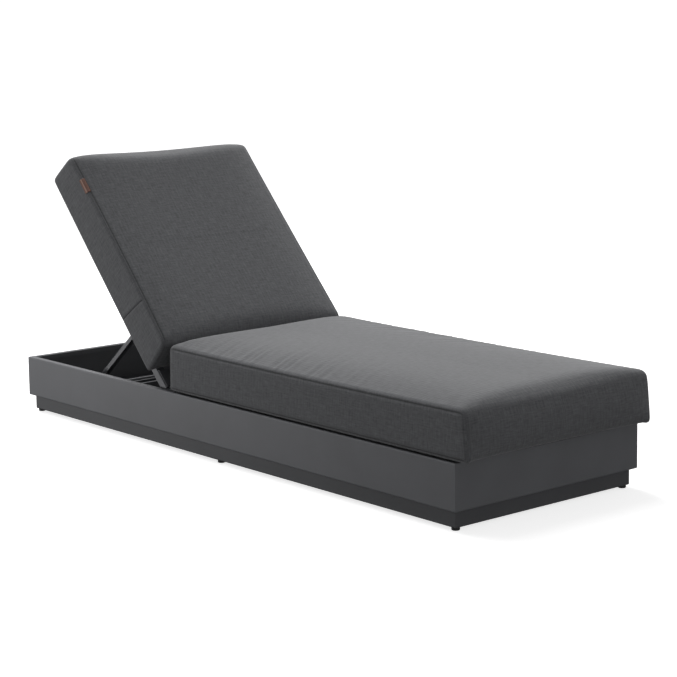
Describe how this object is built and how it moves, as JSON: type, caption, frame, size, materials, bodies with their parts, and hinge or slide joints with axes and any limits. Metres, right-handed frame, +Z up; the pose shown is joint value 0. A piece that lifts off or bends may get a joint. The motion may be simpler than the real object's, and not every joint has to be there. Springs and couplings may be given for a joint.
{
  "type": "sun lounger",
  "caption": "Low aluminium box lounger on a recessed plinth, with a slatted deck, a propped reclining back and loose upholstered cushions.",
  "frame": {"origin": "on the ground, under the middle of the whole lounger with its back raised", "axes": "+X from the head end to the foot end, +Y to the right-hand side of someone lying on it facing the foot end, +Z up"},
  "size_m": [2.046, 0.68, 0.8374],
  "materials": {
    "powder_coat": "matt anthracite powder coat on folded aluminium sheet",
    "frame_powder_coat": "matt anthracite powder coat on aluminium tube and section",
    "black_plastic": "moulded black nylon",
    "stainless_steel": "turned and pressed stainless steel",
    "black_rubber": "matt moulded rubber",
    "charcoal_weave": "charcoal melange outdoor weave",
    "tag_fabric": "folded bare ribbon, rust brown"
  },
  "bodies": {
    "frame": {"panel_left": "powder_coat", "panel_right": "powder_coat", "panel_head": "powder_coat", "panel_foot": "powder_coat", "plinth_left": "powder_coat", "plinth_right": "powder_coat", "plinth_head": "powder_coat", "plinth_foot": "powder_coat", "deck_cross_tube_hinge": "frame_powder_coat", "deck_cross_tube_middle": "frame_powder_coat", "deck_cross_tube_foot": "frame_powder_coat", "seat_slats": "frame_powder_coat", "head_cross_tube": "frame_powder_coat", "corner_gusset_head_left": "frame_powder_coat", "corner_gusset_foot_left": "frame_powder_coat", "glide_head_left": "black_plastic", "glide_middle_left": "black_plastic", "glide_foot_left": "black_plastic", "deck_ledge_left": "frame_powder_coat", "deck_rail_left": "frame_powder_coat", "hinge_plate_outer_left": "frame_powder_coat", "hinge_plate_inner_left": "frame_powder_coat", "hinge_pin_left": "stainless_steel", "prop_track_left": "frame_powder_coat", "rest_buffer_left": "black_rubber", "corner_gusset_head_right": "frame_powder_coat", "corner_gusset_foot_right": "frame_powder_coat", "glide_head_right": "black_plastic", "glide_middle_right": "black_plastic", "glide_foot_right": "black_plastic", "deck_ledge_right": "frame_powder_coat", "deck_rail_right": "frame_powder_coat", "hinge_plate_outer_right": "frame_powder_coat", "hinge_plate_inner_right": "frame_powder_coat", "hinge_pin_right": "stainless_steel", "prop_track_right": "frame_powder_coat", "rest_buffer_right": "black_rubber"},
    "backrest": {"back_cross_tube_low": "frame_powder_coat", "back_cross_tube_top": "frame_powder_coat", "back_slats": "frame_powder_coat", "back_side_tube_left": "frame_powder_coat", "back_tube_cap_left": "black_plastic", "hinge_bushes_left": "black_plastic", "ratchet_joint_left": "stainless_steel", "prop_pin_left": "stainless_steel", "back_side_tube_right": "frame_powder_coat", "back_tube_cap_right": "black_plastic", "hinge_bushes_right": "black_plastic", "ratchet_joint_right": "stainless_steel", "prop_pin_right": "stainless_steel"},
    "prop": {"prop_foot_bar": "frame_powder_coat", "prop_leg_left": "frame_powder_coat", "foot_bar_sleeve_left": "black_plastic", "prop_leg_right": "frame_powder_coat", "foot_bar_sleeve_right": "black_plastic"},
    "seat_cushion": {"seat_cushion": "charcoal_weave"},
    "back_cushion": {"back_cushion": "charcoal_weave", "seam_tag": "tag_fabric"}
  },
  "joints": [
    {"name": "backrest_recline", "type": "hinge", "parent": "frame", "child": "backrest", "pos_m": [-0.291, 0, 0.1655], "axis": [0, 1, 0], "range_deg": [-46, 0]},
    {"name": "prop_swing", "type": "hinge", "parent": "backrest", "child": "prop", "pos_m": [-0.46829, 0, 0.34045], "axis": [0, 1, 0], "range_deg": [0, 77.95]},
    {"name": "seat_cushion_shift", "type": "slide", "parent": "frame", "child": "seat_cushion", "axis": [-1, 0, 0], "range_m": [0, 0.0462]},
    {"name": "back_cushion_shift", "type": "slide", "parent": "backrest", "child": "back_cushion", "axis": [0.6947, 0, -0.7193], "range_m": [0, 0.0627]}
  ],
  "couplings": [
    {"joint": "prop_swing", "follows": "backrest_recline", "ratio": -1.6934},
    {"joint": "seat_cushion_shift", "follows": "backrest_recline", "m_per_rad": -0.057296},
    {"joint": "back_cushion_shift", "follows": "backrest_recline", "m_per_rad": -0.077848}
  ]
}
